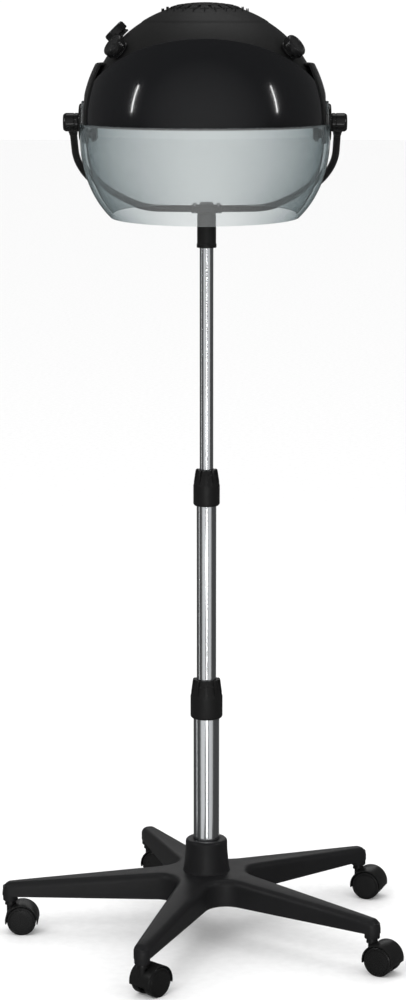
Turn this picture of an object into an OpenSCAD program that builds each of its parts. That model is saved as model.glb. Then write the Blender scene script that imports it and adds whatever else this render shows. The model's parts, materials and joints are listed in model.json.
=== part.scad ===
// Hood hair dryer on a telescopic mast with a five-arm castor base. Millimetres, +Z up.
// The origin is the point on the floor under the mast axis. The hood faces -Y, ahead of the mast.

/* [Base] */
// Distance from the mast axis to each castor stem
stem_circle_r = 340; // [325:1:355]
// Turn of the first arm about the mast axis
first_arm_turn = 180.8; // [170:0.1:190]
// Height of the base's lower edge over the floor
base_low_z = 67; // [64:1:70]
// Height of the base's top face beside the hub
base_top_z = 113; // [108:1:118]
// Height of the hub's top
hub_top_z = 169; // [160:1:180]
// Half the width of an arm at its root
arm_root_half = 27; // [24:1:29]
// Half the width of an arm at its tip
arm_tip_half = 14; // [14:0.5:16]

/* [Castors] */
// Radius of a castor wheel
wheel_r = 25; // [25:0.5:25.5]
// Distance from the stem's axis back to the wheels' axle
castor_trail = 20; // [20:0.5:21]
// Way that each castor trails, as it was left
castor_turns = [0, 47, -30, -20, -20];

/* [Mast] */
// Outer diameter of the lower tube
lower_tube_d = 44.5; // [44.5:0.5:46]
// Outer diameter of the middle tube
mid_tube_d = 33.5; // [33:0.5:34]
// Outer diameter of the upper tube
upper_tube_d = 23; // [22.5:0.5:23.5]
// Height of the lower collar's bottom edge
lower_collar_z = 384; // [380:1:390]
// Height of the upper collar's bottom edge
upper_collar_z = 753; // [745:1:760]
// Height of the swivel socket's bottom edge
socket_z = 1188.5; // [1185:0.5:1192]

/* [Yoke] */
// Diameter of the yoke's bent rod
rod_d = 11; // [10.5:0.5:11]
// Height of the rod where it crosses the mast
rod_cross_z = 1253; // [1252:0.5:1253.5]
// Distance from the middle to each leg of the yoke
leg_x = 208; // [207:0.5:209]

/* [Hood] */
// Height of the axis that the hood tilts on
pivot_z = 1404; // [1402:1:1406]
// Distance of the hood's middle ahead of the mast axis
hood_forward = 230; // [229:1:233]
// Outer radius of the dome
dome_r = 184; // [183.5:0.5:184]
// Outer radius of the glossy front cowl
front_cowl_r = 191.5; // [191:0.5:191.5]
// Outer radius of the rear cowl
rear_cowl_r = 193.5; // [193:0.5:193.5]
// Height of the rear cowl's flat shoulders over the tilt axis
shoulder_z = 92; // [88:1:96]
// Radius of the vent cap
vent_r = 44.5; // [42:0.5:46]

/* [Visor] */
// Half the width of the visor at its top edge
visor_half = 197; // [197:0.5:198]
// Depth of the visor's lower edge under the tilt axis
visor_drop = 147; // [140:1:148]
// Thickness of the smoked sheets
sheet_t = 2.5; // [2:0.5:2.5]

/* [Controls] */
// Radius of a control knob
knob_r = 18.5; // [14:0.5:19]
// Height of a control knob
knob_h = 19; // [12:0.5:20]

/* [Hidden] */
$fn = 64;

run_gap = 0.05;            // radial clearance of a part that turns or slides on another
part_gap = 0.4;            // clearance between parts that only pass each other
big = 400;                 // reach of a cutting block

// base
arms = 5;
arm_step = 360 / arms;
fillet_r = 37;             // of the hollow between two arms
root_u = (arm_root_half + fillet_r) / tan(arm_step / 2);
fillet_at = (arm_root_half + fillet_r) / sin(arm_step / 2);
arm_wall = 4;
tip_top_z = base_top_z - 21;
tip_round = 20;
socket_low_z = 58;
socket_r = 13;

// castors
stem_r = 5;
stem_low_z = 34;
stem_top_z = 88;
wheel_in = 7.4;            // from the castor's middle to a wheel's inner edge
wheel_out = 22;
axle_r = 3;

// mast
tube_wall = 2;
lower_r = lower_tube_d / 2;
mid_r = mid_tube_d / 2;
upper_r = upper_tube_d / 2;
lower_tube_low = 75;
lower_tube_top = lower_collar_z + 46;
mid_tube_low = 300;
mid_tube_top = upper_collar_z + 42;
upper_tube_low = 640;
upper_tube_top = socket_z + 42;

// yoke
rod_r = rod_d / 2;
rod_slope = -atan2(pivot_z - rod_cross_z, hood_forward);
yoke_reach = norm([hood_forward, pivot_z - rod_cross_z]);
ferrule_s = 15;
rod_top_s = 22;
bend_r = 220;              // of each leg's long bend
bend_s = 85;
corner_r = 66;             // of the bend into the cross bar
corner_turn = asin((yoke_reach - bend_s - corner_r) / (bend_r - corner_r));
corner_x = leg_x - (bend_r - corner_r) * (1 - cos(corner_turn)) - corner_r;
barrel_r = 14.5;
barrel_in = 197.7;
barrel_out = 222.6;
bolt_r = 4;

// hood
shell_t = 3;
rim_z = -5;
seat_r = dome_r + run_gap;
flat_x = 188;              // of the flats beside the tilt pivots
ear_r = 34;
disc_in = 191.3;
disc_out = 197.3;
disc_r = 29;
hub_r = 9;
edge_slope = 0.787;        // of the front cowl's sloping top edge
edge_rise = 19;
cowl_joint = 60;           // how far ahead of the tilt axis the two cowls meet
end_turn = 17.5;           // of the rear cowl's front ends, past the tilt axis
bowl_r = 184.7;
bowl_z = -79.7;
skirt_drop = 141.5;
knob_ways = [[-0.7055, 0, 0.7087], [-0.70, -0.385, 0.60], [0.70, -0.385, 0.60]];

// ---------- helpers ----------

module at_hood() { translate([0, -hood_forward, pivot_z]) children(); }

module both_sides() { for (m = [0, 1]) mirror([m, 0, 0]) children(); }

// The child's X is kept, and its Y runs down the slope from the pivots to the mast.
module in_yoke_plane() { at_hood() rotate([rod_slope, 0, 0]) children(); }

// A prism along X over an outline in the YZ plane.
module along_x(half) { rotate([90, 0, 90]) linear_extrude(2 * half, center = true) children(); }

module ring(r_out, r_in, z0, z1) {
  translate([0, 0, z0]) difference() {
    cylinder(h = z1 - z0, r = r_out);
    translate([0, 0, -1]) cylinder(h = z1 - z0 + 2, r = r_in);
  }
}

module x_rod(r, x0, x1) { translate([x0, 0, 0]) rotate([0, 90, 0]) cylinder(h = x1 - x0, r = r); }

// Puts the child's +Z along the direction d from the hood's middle.
module along(d) { rotate([0, acos(d[2] / norm(d)), atan2(d[1], d[0])]) children(); }

// ---------- base ----------

function arc(cx, cy, r, a0, a1, n) = [for (i = [0 : n]) let (a = a0 + (a1 - a0) * i / n)
  [cx + r * cos(a), cy + r * sin(a)]];

// The star seen from above: for each arm its round tip, then the hollow to the next arm.
function star_outline(inset) = [for (k = [0 : arms - 1]) let (t = first_arm_turn + k * arm_step)
  each concat(
    arc(stem_circle_r * cos(t), stem_circle_r * sin(t), arm_tip_half - inset, t - 87, t + 87, 10),
    arc(fillet_at * cos(t + arm_step / 2), fillet_at * sin(t + arm_step / 2),
        fillet_r + inset, t + 270, t + 270 - 180 + arm_step, 8))];

// Half of the base's upright section, from the axis out to the tips.
function star_section(inset, low) = let (end_r = stem_circle_r + arm_tip_half + 2)
  concat([[0, low], [end_r, low]],
         arc(end_r - tip_round, tip_top_z - tip_round - 1, tip_round, 0, 86, 6) - [for (i = [0 : 6]) [0, inset]],
         [[75, base_top_z - inset], [0, base_top_z - inset]]);

module star_solid(inset, low) {
  intersection() {
    translate([0, 0, low]) linear_extrude(base_top_z) polygon(star_outline(inset));
    rotate_extrude() polygon(star_section(inset, low));
  }
}

module at_stems() {
  for (k = [0 : arms - 1]) rotate([0, 0, first_arm_turn + k * arm_step])
    translate([stem_circle_r, 0, 0]) children();
}

module hub() {
  rotate_extrude() polygon([
    [0, base_low_z], [44, base_low_z], [44, base_top_z - 6], [39.5, base_top_z - 2],
    [38.5, base_top_z + 12], [36, base_top_z + 34], [35, hub_top_z - 9],
    [33.5, hub_top_z - 4], [30, hub_top_z], [0, hub_top_z]]);
}

module star_base() {
  color("#161616") difference() {
    union() {
      difference() {
        star_solid(0, base_low_z);
        star_solid(arm_wall, base_low_z - 1);
      }
      hub();
      at_stems() translate([0, 0, socket_low_z]) cylinder(h = tip_top_z - 6 - socket_low_z, r = socket_r);
    }
    translate([0, 0, lower_tube_low]) cylinder(h = hub_top_z, r = lower_r + run_gap);
    cylinder(h = hub_top_z, r = 5.5);
    at_stems() cylinder(h = stem_top_z + 0.5, r = stem_r + 0.02);
  }
}

module base_bolt() {
  color("#8d9093") {
    translate([0, 0, base_low_z - 7]) cylinder(h = 7, r = 9, $fn = 6);
    translate([0, 0, base_low_z - 1]) cylinder(h = 20, r = 5);
  }
}

// ---------- castors ----------

module caster_stems() {
  color("#b9bcc0") at_stems() translate([0, 0, stem_low_z]) cylinder(h = stem_top_z - stem_low_z, r = stem_r);
}

// Places a castor: its stem is the child's Z axis, and it trails along the child's +X.
module at_caster(n) {
  turn = first_arm_turn + (n - 1) * arm_step;
  translate([stem_circle_r * cos(turn), stem_circle_r * sin(turn), 0]) rotate([0, 0, castor_turns[n - 1]])
    children();
}

module at_axle() { translate([castor_trail, 0, wheel_r]) rotate([90, 0, 0]) children(); }

module caster_body(n) {
  fender_in = wheel_r + 1.2;
  fender_out = wheel_r + 3.6;
  color("#141414") at_caster(n) difference() {
    union() {
      at_axle() rotate([0, 0, -10]) rotate_extrude(angle = 200)
        translate([fender_in, -wheel_out - 0.3]) square([fender_out - fender_in, 2 * wheel_out + 0.6]);
      at_axle() translate([0, 0, -7]) linear_extrude(14) union() {
        circle(r = 19);
        intersection() {
          circle(r = fender_in + 1);
          translate([-big / 2, 0]) square([big, big]);
        }
      }
      translate([0, 0, 30]) cylinder(h = 20.5, r = 6.9);
      translate([0, 0, wheel_r + 24.9]) cylinder(h = socket_low_z - 0.3 - wheel_r - 24.9, r = 9);
    }
    translate([0, 0, stem_low_z - part_gap]) cylinder(h = 60, r = stem_r + run_gap);
    at_axle() translate([0, 0, -30]) cylinder(h = 60, r = axle_r);
  }
}

module caster_axle(n) {
  color("#a9adb1") at_caster(n) at_axle() translate([0, 0, -18.5]) cylinder(h = 37, r = axle_r);
}

module caster_wheel(n, side) {
  color("#0f0f0f") at_caster(n) at_axle() rotate([side > 0 ? 0 : 180, 0, 0]) rotate_extrude() polygon([
    [axle_r + run_gap, wheel_in + 2], [6, wheel_in + 2], [6, wheel_out - 3.5], [20.5, wheel_out - 3.5],
    [20.5, wheel_in], [wheel_r - 1, wheel_in], [wheel_r, wheel_in + 1], [wheel_r, wheel_out - 2],
    [wheel_r - 2, wheel_out], [0, wheel_out], [0, 18.9], [axle_r + run_gap, 18.9]]);
}

// ---------- mast ----------

module lower_tube() {
  color("#c9cccf") difference() {
    translate([0, 0, lower_tube_low]) cylinder(h = lower_tube_top - lower_tube_low, r = lower_r);
    translate([0, 0, lower_tube_low + 12]) cylinder(h = big, r = lower_r - tube_wall);
    translate([0, 0, lower_tube_low - 1]) cylinder(h = 20, r = 5);
  }
}

// A split sleeve in a tube's mouth that grips the next tube: z is the tube's top.
module collet(r_bore, r_sleeve, r_flange, z) {
  difference() {
    rotate_extrude() polygon([
      [r_bore + run_gap, z - 35], [r_sleeve, z - 35], [r_sleeve, z], [r_flange, z],
      [r_flange, z + 10], [r_bore + 2.2, z + 18], [r_bore + run_gap, z + 18]]);
    for (a = [0, 90]) rotate([0, 0, a]) translate([-big / 2, -0.8, z + 3]) cube([big, 1.6, 20]);
  }
}

// A grip collar over a collet: z is its bottom edge, h its height, r its outer radius, seat the tube's mouth.
module collar(r, r_low, r_flange, r_top, z, h, seat) {
  difference() {
    rotate_extrude() polygon([
      [r_low + 0.4, z], [r - 3, z], [r, z + 4], [r, z + h - 12], [r - 1.5, z + h - 7],
      [r - 5.5, z + h - 3], [r - 6, z + h], [r_top + 0.5, z + h], [r_top + 0.5, seat + 18.5],
      [r_top + 2.8, seat + 18.5], [r_flange + part_gap, seat + 10.6], [r_flange + part_gap, seat - 1.5],
      [r_low + 0.4, seat - 1.5]]);
    for (a = [0 : 30 : 359]) rotate([0, 0, a + 15]) translate([r + 1.2, 0, z + 6]) cylinder(h = h - 20, r = 2);
  }
}

module lower_collet() { color("#1b1b1b") collet(mid_r, lower_r - tube_wall - 0.02, lower_r + 1.6, lower_tube_top); }
module lower_collar() { color("#101010") collar(27.5, lower_r, lower_r + 1.6, mid_r, lower_collar_z, 68, lower_tube_top); }

module mid_tube() { color("#c9cccf") ring(mid_r, mid_r - 1.8, mid_tube_low, mid_tube_top); }

// A bush on a sliding tube's lower end that runs in the tube outside it.
module guide(r_tube, r_run, z) {
  rotate_extrude() polygon([
    [r_tube - 1.8, z - 4], [r_run, z - 4], [r_run, z + 30], [r_tube, z + 30], [r_tube, z], [r_tube - 1.8, z]]);
}

module mid_guide() { color("#e8e6df") guide(mid_r, lower_r - tube_wall - run_gap, mid_tube_low); }

module upper_collet() { color("#1b1b1b") collet(upper_r, mid_r - 1.82, mid_r + 1.6, mid_tube_top); }
module upper_collar() { color("#101010") collar(22.4, mid_r, mid_r + 1.6, upper_r, upper_collar_z, 62, mid_tube_top); }

module upper_tube() { color("#c9cccf") ring(upper_r, upper_r - 1.6, upper_tube_low, upper_tube_top); }

module upper_guide() { color("#e8e6df") guide(upper_r, mid_r - 1.8 - run_gap, upper_tube_low); }

// ---------- yoke ----------

module swivel_socket() {
  top = rod_cross_z - 7;
  color("#121212") difference() {
    rotate_extrude() polygon([
      [0, socket_z], [15.5, socket_z], [16.5, socket_z + 1], [16.5, top - 1], [16, top], [0, top]]);
    translate([0, 0, socket_z - 1]) cylinder(h = upper_tube_top - socket_z + 1.3, r = upper_r + run_gap);
  }
}

screw_places = [for (x = [-20, 20], y = [-9, 9]) [x, y]];

module yoke_bracket() {
  low = rod_cross_z - 7;
  color("#121212") difference() {
    union() {
      translate([-27.3, -12, low]) cube([54.6, 24, 14]);
      translate([-11.5, -9, low + 13]) cube([23, 18, 5]);
    }
    translate([0, 0, rod_cross_z]) x_rod(rod_r, -40, 40);
    for (p = screw_places) translate([p[0], p[1], low - 1]) cylinder(h = 20, r = 2);
  }
}

module bracket_screws() {
  color("#55585b") for (p = screw_places) translate([p[0], p[1], rod_cross_z - 6]) {
    cylinder(h = 13.5, r = 2);
    translate([0, 0, 13]) cylinder(h = 2.2, r = 3);
  }
}

// Half of the rod's middle line in the yoke's plane, from the top of a leg to the middle of the bar.
rod_line = concat(
  [[leg_x, rod_top_s]],
  arc(leg_x - bend_r, bend_s, bend_r, 0, corner_turn, 9),
  [for (i = [1 : 5]) let (a = corner_turn + (90 - corner_turn) * i / 5)
    [corner_x + corner_r * cos(a), yoke_reach - corner_r + corner_r * sin(a)]]);

// A round bar swept along points in a plane, as one closed solid.
module swept_bar(line, r, sides = 20) {
  last = len(line) - 1;
  rings = [for (i = [0 : last], k = [0 : sides - 1])
    let (d = line[min(i + 1, last)] - line[max(i - 1, 0)], n = [d[1], -d[0]] / norm(d), a = 360 * k / sides)
    [line[i][0] + n[0] * r * cos(a), line[i][1] + n[1] * r * cos(a), r * sin(a)]];
  walls = [for (i = [0 : last - 1], k = [0 : sides - 1])
    let (p = i * sides + k, q = i * sides + (k + 1) % sides)
    each [[p, q, q + sides], [p, q + sides, p + sides]]];
  polyhedron(points = rings, faces = concat(walls,
    [[for (k = [sides - 1 : -1 : 0]) k], [for (k = [0 : sides - 1]) last * sides + k]]));
}

// The bent rod: two legs, a long bend and a tighter one on each side, and the cross bar.
module yoke_rod() {
  half = len(rod_line) - 1;
  color("#131313") in_yoke_plane() swept_bar(
    concat(rod_line, [for (i = [half : -1 : 0]) [-rod_line[i][0], rod_line[i][1]]]), rod_r);
}

module yoke_ferrules() {
  color("#161616") in_yoke_plane() both_sides() translate([leg_x, 0, 0]) rotate([-90, 0, 0])
    difference() {
      rotate_extrude() polygon([
        [0, 8], [5, 8], [5, ferrule_s], [7.6, ferrule_s], [7.6, 28], [6.6, 36], [0, 36]]);
      translate([0, 0, rod_top_s]) cylinder(h = 30, r = rod_r);
    }
}

module yoke_barrels() {
  color("#0e0e0e") in_yoke_plane() both_sides() difference() {
    rotate([0, 90, 0]) rotate_extrude() polygon([
      [0, barrel_in], [barrel_r - 1, barrel_in], [barrel_r, barrel_in + 1], [barrel_r, barrel_out - 4],
      [barrel_r - 1.2, barrel_out - 1.5], [barrel_r - 4, barrel_out], [0, barrel_out]]);
    x_rod(bolt_r, barrel_in - 1, 206);
    translate([leg_x, 8, 0]) rotate([-90, 0, 0]) cylinder(h = 20, r = 5);
  }
}

module pivot_bolts() {
  color("#9da1a5") at_hood() both_sides() {
    x_rod(bolt_r, 170, 206);
    translate([170, 0, 0]) rotate([0, 90, 0]) cylinder(h = 4, r = 7.5, $fn = 6);
  }
}

// ---------- hood ----------

module pivot_discs() {
  color("#121212") at_hood() both_sides() difference() {
    rotate([0, 90, 0]) rotate_extrude() polygon([
      [0, flat_x + run_gap], [hub_r, flat_x + run_gap], [hub_r, disc_in], [disc_r, disc_in],
      [disc_r, disc_out - 1.5], [disc_r - 1.5, disc_out], [0, disc_out]]);
    x_rod(bolt_r + run_gap, 180, 210);
  }
}

// Blocks inside the shell that the pivot bolts turn in, hanging just below its rim.
module pivot_blocks() {
  color("#17181a") at_hood() both_sides() difference() {
    union() {
      translate([169.5, -24, -30]) cube([8, 48, 58]);
      translate([177, -24, -30]) cube([6, 48, 30 + rim_z - 0.5]);
    }
    x_rod(bolt_r + run_gap, 160, 190);
    x_rod(8, 165, 174.1);
  }
}

module dome_shell() {
  color("#1a1a1b") at_hood() difference() {
    rotate([0, 0, 90]) sphere(r = dome_r, $fn = 96);
    rotate([0, 0, 90]) sphere(r = dome_r - shell_t, $fn = 96);
    translate([-big, -big, rim_z - 2 * big]) cube(2 * big);
    cylinder(h = big, r = vent_r - 3);
    for (d = knob_ways) along(d) cylinder(h = big, r = 3.6);
    both_sides() translate([170, -5, -20]) cube([30, 10, 25]);
  }
}

vent_slots = 28;

module vent_cap() {
  color("#1a1a1b") at_hood() difference() {
    rotate_extrude() polygon([
      [0, 182], [18, 181.3], [33, 179.6], [39.6, 177.2], [39.6, 171], [41.3, 171], [41.3, 179.4], [vent_r, 179.4],
      [vent_r, 181.2], [42.5, 182.2], [30, 184], [15, 184.9], [0, 185.2]]);
    for (i = [0 : vent_slots - 1]) rotate([0, 0, i * 360 / vent_slots])
      translate([16, -1.3, 160]) cube([22, 2.6, 40]);
    translate([0, 0, 160]) cylinder(h = 40, r = 4);
  }
}

// Outline, in the YZ plane, of what the front cowl covers, drawn in by a margin at its free edges.
function front_area(in) = let (far = 215, k = norm([1, edge_slope]))
  [[-cowl_joint - in, rim_z + in], [-far, rim_z + in], [-far, edge_rise + edge_slope * far - in * k],
   [-cowl_joint - in, edge_rise + edge_slope * (cowl_joint + in) - in * k]];

module front_cowl() {
  color("#060607") at_hood() {
    difference() {
      intersection() {
        sphere(r = front_cowl_r, $fn = 96);
        along_x(flat_x) polygon(front_area(0));
      }
      sphere(r = seat_r, $fn = 96);
      intersection() {
        sphere(r = front_cowl_r - shell_t, $fn = 96);
        along_x(big) polygon(front_area(2.5));
      }
    }
  }
}

// Half of the rear cowl's upright section: a curved wall with a flat shelf on top of it.
module rear_section() {
  inner_r = rear_cowl_r - shell_t - 0.5;
  difference() {
    circle(r = rear_cowl_r, $fn = 96);
    circle(r = seat_r, $fn = 96);
    difference() {
      circle(r = inner_r, $fn = 96);
      translate([-big, shoulder_z - 3]) square(2 * big);
    }
    translate([-2 * big, -big]) square(2 * big);
    translate([-big, rim_z - 2 * big]) square(2 * big);
    translate([-big, shoulder_z]) square(2 * big);
  }
}

module rear_cowl() {
  color("#141415") at_hood() difference() {
    union() {
      difference() {
        rotate([0, 0, -end_turn]) rotate_extrude(angle = 180 + 2 * end_turn, $fn = 96) rear_section();
        both_sides() translate([flat_x, -big, -big]) cube(2 * big);
      }
      both_sides() x_rod(ear_r, dome_r + 0.4, flat_x - 0.01);
    }
    both_sides() x_rod(5, 150, 200);
    translate([45, 150, 25]) rotate([-90, 0, 0]) cylinder(h = 60, r = 9);
  }
}

// A point on a smoked sheet: z under the tilt axis, t the way round from the front.
function sheet_point(z, t, in, half, fall, deep_top, deep_low, drop) =
  let (a = half * pow(1 - pow(max(0, -z) / fall, 2.5), 0.4) - in,
       b = deep_top + (deep_low - deep_top) * max(0, -z) / drop - in)
  [a * sin(t), -b * cos(t), z];

// A curved sheet between two heights and two ways round, thick inwards, as one closed solid.
module sheet(z0, z1, t0, t1, rows, cols, half, fall, deep_top, deep_low, drop) {
  skin = [for (in = [0, sheet_t], i = [0 : rows], j = [0 : cols])
    sheet_point(z0 + (z1 - z0) * i / rows, t0 + (t1 - t0) * j / cols, in, half, fall, deep_top, deep_low, drop)];
  step = cols + 1;
  back = (rows + 1) * step;
  function quad(a, b, c, d) = [[a, b, c], [a, c, d]];
  outer = [for (i = [0 : rows - 1], j = [0 : cols - 1]) let (p = i * step + j)
    each quad(p, p + step, p + step + 1, p + 1)];
  inner = [for (i = [0 : rows - 1], j = [0 : cols - 1]) let (p = back + i * step + j)
    each quad(p, p + 1, p + step + 1, p + step)];
  across = [for (j = [0 : cols - 1]) let (p = j, q = rows * step + j)
    each concat(quad(p, p + 1, back + p + 1, back + p), quad(q + 1, q, back + q, back + q + 1))];
  down = [for (i = [0 : rows - 1]) let (p = i * step, q = i * step + cols)
    each concat(quad(p + step, p, back + p, back + p + step), quad(q, q + step, back + q + step, back + q))];
  polyhedron(points = skin, faces = [for (f = concat(outer, inner, across, down)) [f[2], f[1], f[0]]]);
}

module rear_skirt() {
  color("#5f7379", 0.5) at_hood() difference() {
    sheet(6, -skirt_drop, 86.5, 273.5, 9, 28, 187.5, 192.2, 188, 194, skirt_drop);
    x_rod(ear_r + 0.8, -220, 220);
  }
}

module visor() {
  side_x = flat_x + part_gap;
  color("#5f7379", 0.5) at_hood() difference() {
    union() {
      sheet(-2, -visor_drop, -95.2, 95.2, 10, 34, visor_half, 193.2, 197.5, 208, visor_drop);
      both_sides() x_rod(33.2, side_x, 193);
    }
    both_sides() {
      x_rod(30.3, side_x + sheet_t, 230);
      x_rod(hub_r + run_gap, 180, 230);
    }
  }
}

// ---------- inside the hood ----------

module inner_bowl() {
  color("#77797c") at_hood() difference() {
    translate([0, 0, bowl_z]) sphere(r = bowl_r, $fn = 96);
    translate([0, 0, bowl_z]) sphere(r = bowl_r - 2, $fn = 96);
    translate([-big, -big, rim_z + 1 - 2 * big]) cube(2 * big);
    for (i = [0 : 11], row = [0, 1]) rotate([0, 0, 30 * i + 15 * row + 7])
      translate([64 + 40 * row, 0, 0]) cylinder(h = 150, r = 5);
  }
}

module motor_mount() {
  color("#8f9396") at_hood() {
    ring(74, 16, 107, 110);
    for (a = [30, 150, 270]) rotate([0, 0, a]) translate([68, 0, 109]) cylinder(h = 57, r = 3.5);
  }
}

module motor() {
  color("#55585c") at_hood() difference() {
    rotate_extrude() polygon([[0, 110], [30, 110], [30, 134], [26, 138], [8, 138], [8, 140], [0, 140]]);
    translate([0, 0, 119]) cylinder(h = 40, r = 3 + run_gap);
  }
}

module impeller() {
  color("#e4e2da") at_hood() {
    translate([0, 0, 120]) cylinder(h = 24, r = 3);
    ring(58, 2.5, 142, 144.5);
    ring(12, 2.5, 142, 158);
    for (i = [0 : 15]) rotate([0, 0, 22.5 * i]) translate([30, -1, 144]) cube([27, 2, 17]);
  }
}

module heater_former() {
  color("#cdbf9b") at_hood() {
    ring(100, 96, 90, 108);
    ring(84, 80, 90, 108);
    for (i = [0 : 11]) rotate([0, 0, 30 * i]) translate([83, -1, 90]) cube([14, 2, 18]);
  }
}

// Two turns of heating wire, drawn as the round bundle that each wound turn fills.
module heater_coil() {
  color("#8a5a3c") at_hood() for (z = [111, 117]) translate([0, 0, z])
    rotate_extrude() translate([90, 0]) circle(r = 2.4);
}

module thermostat() {
  color("#b7babd") at_hood() translate([0, 50, 110]) {
    cylinder(h = 5, r = 8);
    cylinder(h = 8, r = 5);
  }
}

module control_bodies() {
  color("#2b2d30") at_hood() for (d = knob_ways) along(d) difference() {
    translate([0, 0, 152]) cylinder(h = dome_r - shell_t - 1.2 - 152, r = 14);
    translate([0, 0, 159.6]) cylinder(h = 40, r = 3 + run_gap);
  }
}

module knob(d) {
  low = dome_r + 0.6;
  color("#0d0d0e") at_hood() along(d) difference() {
    rotate_extrude() polygon([
      [0, 160], [3, 160], [3, low], [knob_r, low], [knob_r, low + 5], [knob_r - 1.5, low + 6],
      [knob_r - 2, low + knob_h - 1.5], [knob_r - 3.5, low + knob_h], [0, low + knob_h]]);
    for (a = [0 : 30 : 359]) rotate([0, 0, a]) translate([knob_r - 0.6, 0, low + 6.2]) cylinder(h = 20, r = 1.6);
  }
}

module timer_knob() { knob(knob_ways[0]); }
module heat_knob() { knob(knob_ways[1]); }
module speed_knob() { knob(knob_ways[2]); }

module cord_gland() {
  color("#101011") at_hood() translate([45, 0, 25]) rotate([-90, 0, 0]) difference() {
    rotate_extrude() polygon([
      [0, 181], [9, 181], [9, 190], [12.5, 190], [12.5, 193], [9, 195], [6.8, 212], [0, 212]]);
    translate([0, 0, 170]) cylinder(h = 50, r = 4);
  }
}

// ---------- nodes ----------

star_base();
base_bolt();
caster_stems();
for (n = [1 : arms]) {
  caster_body(n);
  caster_axle(n);
  caster_wheel(n, 1);
  caster_wheel(n, -1);
}
lower_tube();
lower_collet();
lower_collar();
mid_tube();
mid_guide();
upper_collet();
upper_collar();
upper_tube();
upper_guide();
swivel_socket();
yoke_bracket();
bracket_screws();
yoke_rod();
yoke_ferrules();
yoke_barrels();
pivot_bolts();
pivot_discs();
pivot_blocks();
dome_shell();
vent_cap();
front_cowl();
rear_cowl();
rear_skirt();
visor();
inner_bowl();
motor_mount();
motor();
impeller();
heater_former();
heater_coil();
thermostat();
control_bodies();
timer_knob();
heat_knob();
speed_knob();
cord_gland();
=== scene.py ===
# %% [markdown]
# # A hood hair dryer, built piece by piece
# The packed model gives the frame: every part's place, size and moving body. This lesson only adds
# looks. Each visible moulding is remade with rounded edges and given a finish, and each new piece
# rides on the body it belongs to, so it still moves as the mechanism does.

# %% Load the frame
import json
import math

import bmesh
import bpy
from mathutils import Matrix, Vector


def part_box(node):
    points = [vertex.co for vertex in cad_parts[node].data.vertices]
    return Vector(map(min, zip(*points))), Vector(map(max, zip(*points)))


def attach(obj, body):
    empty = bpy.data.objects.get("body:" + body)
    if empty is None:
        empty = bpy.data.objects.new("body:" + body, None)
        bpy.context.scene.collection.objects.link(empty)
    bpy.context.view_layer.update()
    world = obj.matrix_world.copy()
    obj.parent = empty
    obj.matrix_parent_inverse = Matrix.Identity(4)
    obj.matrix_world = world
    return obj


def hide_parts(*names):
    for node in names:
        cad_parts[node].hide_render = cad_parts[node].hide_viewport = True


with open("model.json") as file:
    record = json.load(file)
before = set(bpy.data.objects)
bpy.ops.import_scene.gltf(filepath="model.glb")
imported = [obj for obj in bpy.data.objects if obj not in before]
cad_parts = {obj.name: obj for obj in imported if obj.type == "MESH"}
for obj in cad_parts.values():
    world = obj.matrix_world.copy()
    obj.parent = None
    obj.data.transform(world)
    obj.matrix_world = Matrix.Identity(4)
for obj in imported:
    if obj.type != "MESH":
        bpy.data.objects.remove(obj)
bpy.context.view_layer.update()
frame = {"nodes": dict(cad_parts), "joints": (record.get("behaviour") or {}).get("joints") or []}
joints = {j["name"]: j for j in frame["joints"]}
MM = 0.001


def mm(*points):
    """Points written in millimetres, turned to metres."""
    return [tuple(v * MM for v in point) for point in points]


pivot = Vector(joints["hood_tilt"]["pos_m"])

# %% [markdown]
# ## Camera, floor and light
# A long lens from standing height looks slightly down, as a catalogue picture does, so the hood and
# the base keep their true proportions. The floor and the surroundings are pale and plain, but gloss
# mirrors a dim room with a few thin lights in it: polished metal in a purely white room looks like
# paper, and black plastic looks grey.

# %% Camera
CAMERA_DISTANCE = 4.539
CAMERA_HEIGHT = 1.573
CAMERA_PITCH = math.radians(10.13)
CAMERA_TURN = math.radians(0.7)
CAMERA_SIDE = -0.006
SENSOR = 36.0
LENS_PER_HEIGHT = 2.728  # focal length over picture height

camera_data = bpy.data.cameras.new("camera")
camera_data.sensor_fit = "AUTO"
camera_data.sensor_width = SENSOR
camera_data.lens = LENS_PER_HEIGHT * SENSOR
camera = bpy.data.objects.new("camera", camera_data)
bpy.context.scene.collection.objects.link(camera)
turn = Matrix.Rotation(CAMERA_TURN, 3, "Z")
camera.location = turn @ Vector((CAMERA_SIDE, -CAMERA_DISTANCE, CAMERA_HEIGHT))
camera.rotation_euler = (math.pi / 2 - CAMERA_PITCH, 0, CAMERA_TURN)
bpy.context.scene.camera = camera
print("camera at", [round(v, 3) for v in camera.location])

# %% [markdown]
# The room is a plain white world, but how bright it is depends on what looks at it: matte surfaces
# and the lens meet it pale, and gloss meets it dim. A Light Path node tells the rays apart. Lights
# are softboxes; thin ones give the slivers on the cowl.

# %% A node maker, and the light
def add_node(tree, kind, settings=None, values=None):
    """Adds a node: its settings first, then a value or a link for each named socket."""
    made = tree.nodes.new(kind)
    for key, value in (settings or {}).items():
        setattr(made, key, value)
    for key, value in (values or {}).items():
        if isinstance(value, bpy.types.NodeSocket):
            tree.links.new(value, made.inputs[key])
        else:
            made.inputs[key].default_value = value
    return made


SKY, VIEW = 1.25, 1.03  # the room as matte surfaces meet it, and as the lens does
GLOSS_FRONT, GLOSS_BACK = 0.34, 0.08  # the room as gloss mirrors it, in front of the hood and behind it

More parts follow.
